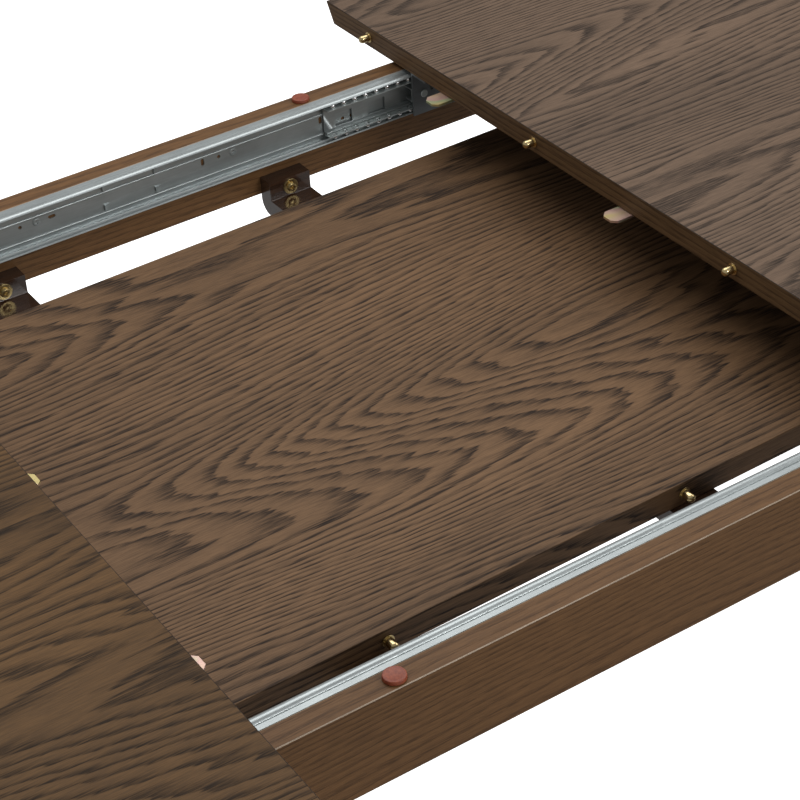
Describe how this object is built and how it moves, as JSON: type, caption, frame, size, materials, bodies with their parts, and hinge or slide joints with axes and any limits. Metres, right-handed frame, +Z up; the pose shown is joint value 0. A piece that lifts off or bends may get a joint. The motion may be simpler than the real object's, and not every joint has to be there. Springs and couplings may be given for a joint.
{
  "type": "extendable dining table",
  "caption": "Rectangular extendable dining table with tops that slide apart on ball-bearing runners and a spare leaf stored between the aprons.",
  "frame": {"origin": "on the floor, under the middle of the table", "axes": "+X along the slide direction towards the right-hand top, +Y across the table towards its far side, +Z up"},
  "size_m": [2.21, 1.016, 0.75],
  "materials": {
    "apron_wood": "walnut stain, satin lacquer",
    "top_veneer": "brushed oak veneer, grey-brown walnut stain, matt lacquer",
    "leaf_veneer": "brushed oak veneer, walnut stain, matt lacquer",
    "block_wood": "sawn beech, clear sealed",
    "rest_wood": "dark brown gloss lacquer",
    "pad_felt": "red-brown soft pad",
    "nylon": "black nylon",
    "brass": "turned brass",
    "yellow_zinc": "yellow passivated zinc plate",
    "bracket_steel": "zinc plate, satin",
    "bright_steel": "polished steel",
    "zinc_steel": "bright zinc plate"
  },
  "bodies": {
    "frame": {"apron_far": "apron_wood", "apron_near": "apron_wood", "end_rail_right": "apron_wood", "end_rail_left": "apron_wood", "leg_far_right": "apron_wood", "leg_near_right": "apron_wood", "leg_far_left": "apron_wood", "leg_near_left": "apron_wood", "corner_block_far_right": "block_wood", "corner_block_near_right": "block_wood", "corner_block_far_left": "block_wood", "corner_block_near_left": "block_wood", "hanger_bolts": "zinc_steel", "hanger_nuts": "zinc_steel", "corner_block_screws": "yellow_zinc", "foot_glides": "nylon", "slide_outer_far": "zinc_steel", "slide_outer_near": "zinc_steel", "slide_screws": "zinc_steel", "leaf_rest_far_right": "rest_wood", "leaf_rest_near_right": "rest_wood", "leaf_rest_far_left": "rest_wood", "leaf_rest_near_left": "rest_wood", "leaf_rest_screws": "yellow_zinc", "glide_pads": "pad_felt"},
    "top_right": {"top_right": "top_veneer", "pins_right": "brass", "tongues_right": "yellow_zinc", "underside_screws_right": "yellow_zinc", "bracket_far_right": "bracket_steel", "bracket_near_right": "bracket_steel", "bracket_rivets_right": "bright_steel", "slide_inner_far_right": "zinc_steel", "slide_inner_near_right": "zinc_steel"},
    "top_left": {"top_left": "top_veneer", "sockets_left": "brass", "tongues_left": "yellow_zinc", "underside_screws_left": "yellow_zinc", "bracket_far_left": "bracket_steel", "bracket_near_left": "bracket_steel", "bracket_rivets_left": "bright_steel", "slide_inner_far_left": "zinc_steel", "slide_inner_near_left": "zinc_steel"},
    "slide_mid_right": {"slide_mid_far_right": "zinc_steel", "slide_mid_near_right": "zinc_steel"},
    "slide_mid_left": {"slide_mid_far_left": "zinc_steel", "slide_mid_near_left": "zinc_steel"},
    "outer_cage_right": {"outer_cages_right": "zinc_steel", "outer_balls_right": "bright_steel"},
    "inner_cage_right": {"inner_cages_right": "zinc_steel", "inner_balls_right": "bright_steel"},
    "outer_cage_left": {"outer_cages_left": "zinc_steel", "outer_balls_left": "bright_steel"},
    "inner_cage_left": {"inner_cages_left": "zinc_steel", "inner_balls_left": "bright_steel"},
    "leaf": {"leaf": "leaf_veneer", "leaf_pins": "brass", "leaf_sockets": "brass"}
  },
  "joints": [
    {"name": "top_right_slide", "type": "slide", "parent": "frame", "child": "top_right", "axis": [-1, 0, 0], "range_m": [0, 0.3048]},
    {"name": "slide_mid_right_travel", "type": "slide", "parent": "frame", "child": "slide_mid_right", "axis": [-1, 0, 0], "range_m": [0, 0.1525]},
    {"name": "outer_cage_right_travel", "type": "slide", "parent": "frame", "child": "outer_cage_right", "axis": [-1, 0, 0], "range_m": [0, 0.0763]},
    {"name": "inner_cage_right_travel", "type": "slide", "parent": "frame", "child": "inner_cage_right", "axis": [-1, 0, 0], "range_m": [0, 0.2287]},
    {"name": "top_left_slide", "type": "slide", "parent": "frame", "child": "top_left", "axis": [1, 0, 0], "range_m": [0, 0.3048]},
    {"name": "slide_mid_left_travel", "type": "slide", "parent": "frame", "child": "slide_mid_left", "axis": [1, 0, 0], "range_m": [0, 0.1525]},
    {"name": "outer_cage_left_travel", "type": "slide", "parent": "frame", "child": "outer_cage_left", "axis": [1, 0, 0], "range_m": [0, 0.0763]},
    {"name": "inner_cage_left_travel", "type": "slide", "parent": "frame", "child": "inner_cage_left", "axis": [1, 0, 0], "range_m": [0, 0.2287]},
    {"name": "leaf_lift", "type": "slide", "parent": "frame", "child": "leaf", "axis": [0, 0, 1], "range_m": [0, 0.04]}
  ],
  "couplings": [
    {"joint": "slide_mid_right_travel", "follows": "top_right_slide", "ratio": 0.5},
    {"joint": "outer_cage_right_travel", "follows": "top_right_slide", "ratio": 0.25},
    {"joint": "inner_cage_right_travel", "follows": "top_right_slide", "ratio": 0.75},
    {"joint": "slide_mid_left_travel", "follows": "top_left_slide", "ratio": 0.5},
    {"joint": "outer_cage_left_travel", "follows": "top_left_slide", "ratio": 0.25},
    {"joint": "inner_cage_left_travel", "follows": "top_left_slide", "ratio": 0.75}
  ]
}
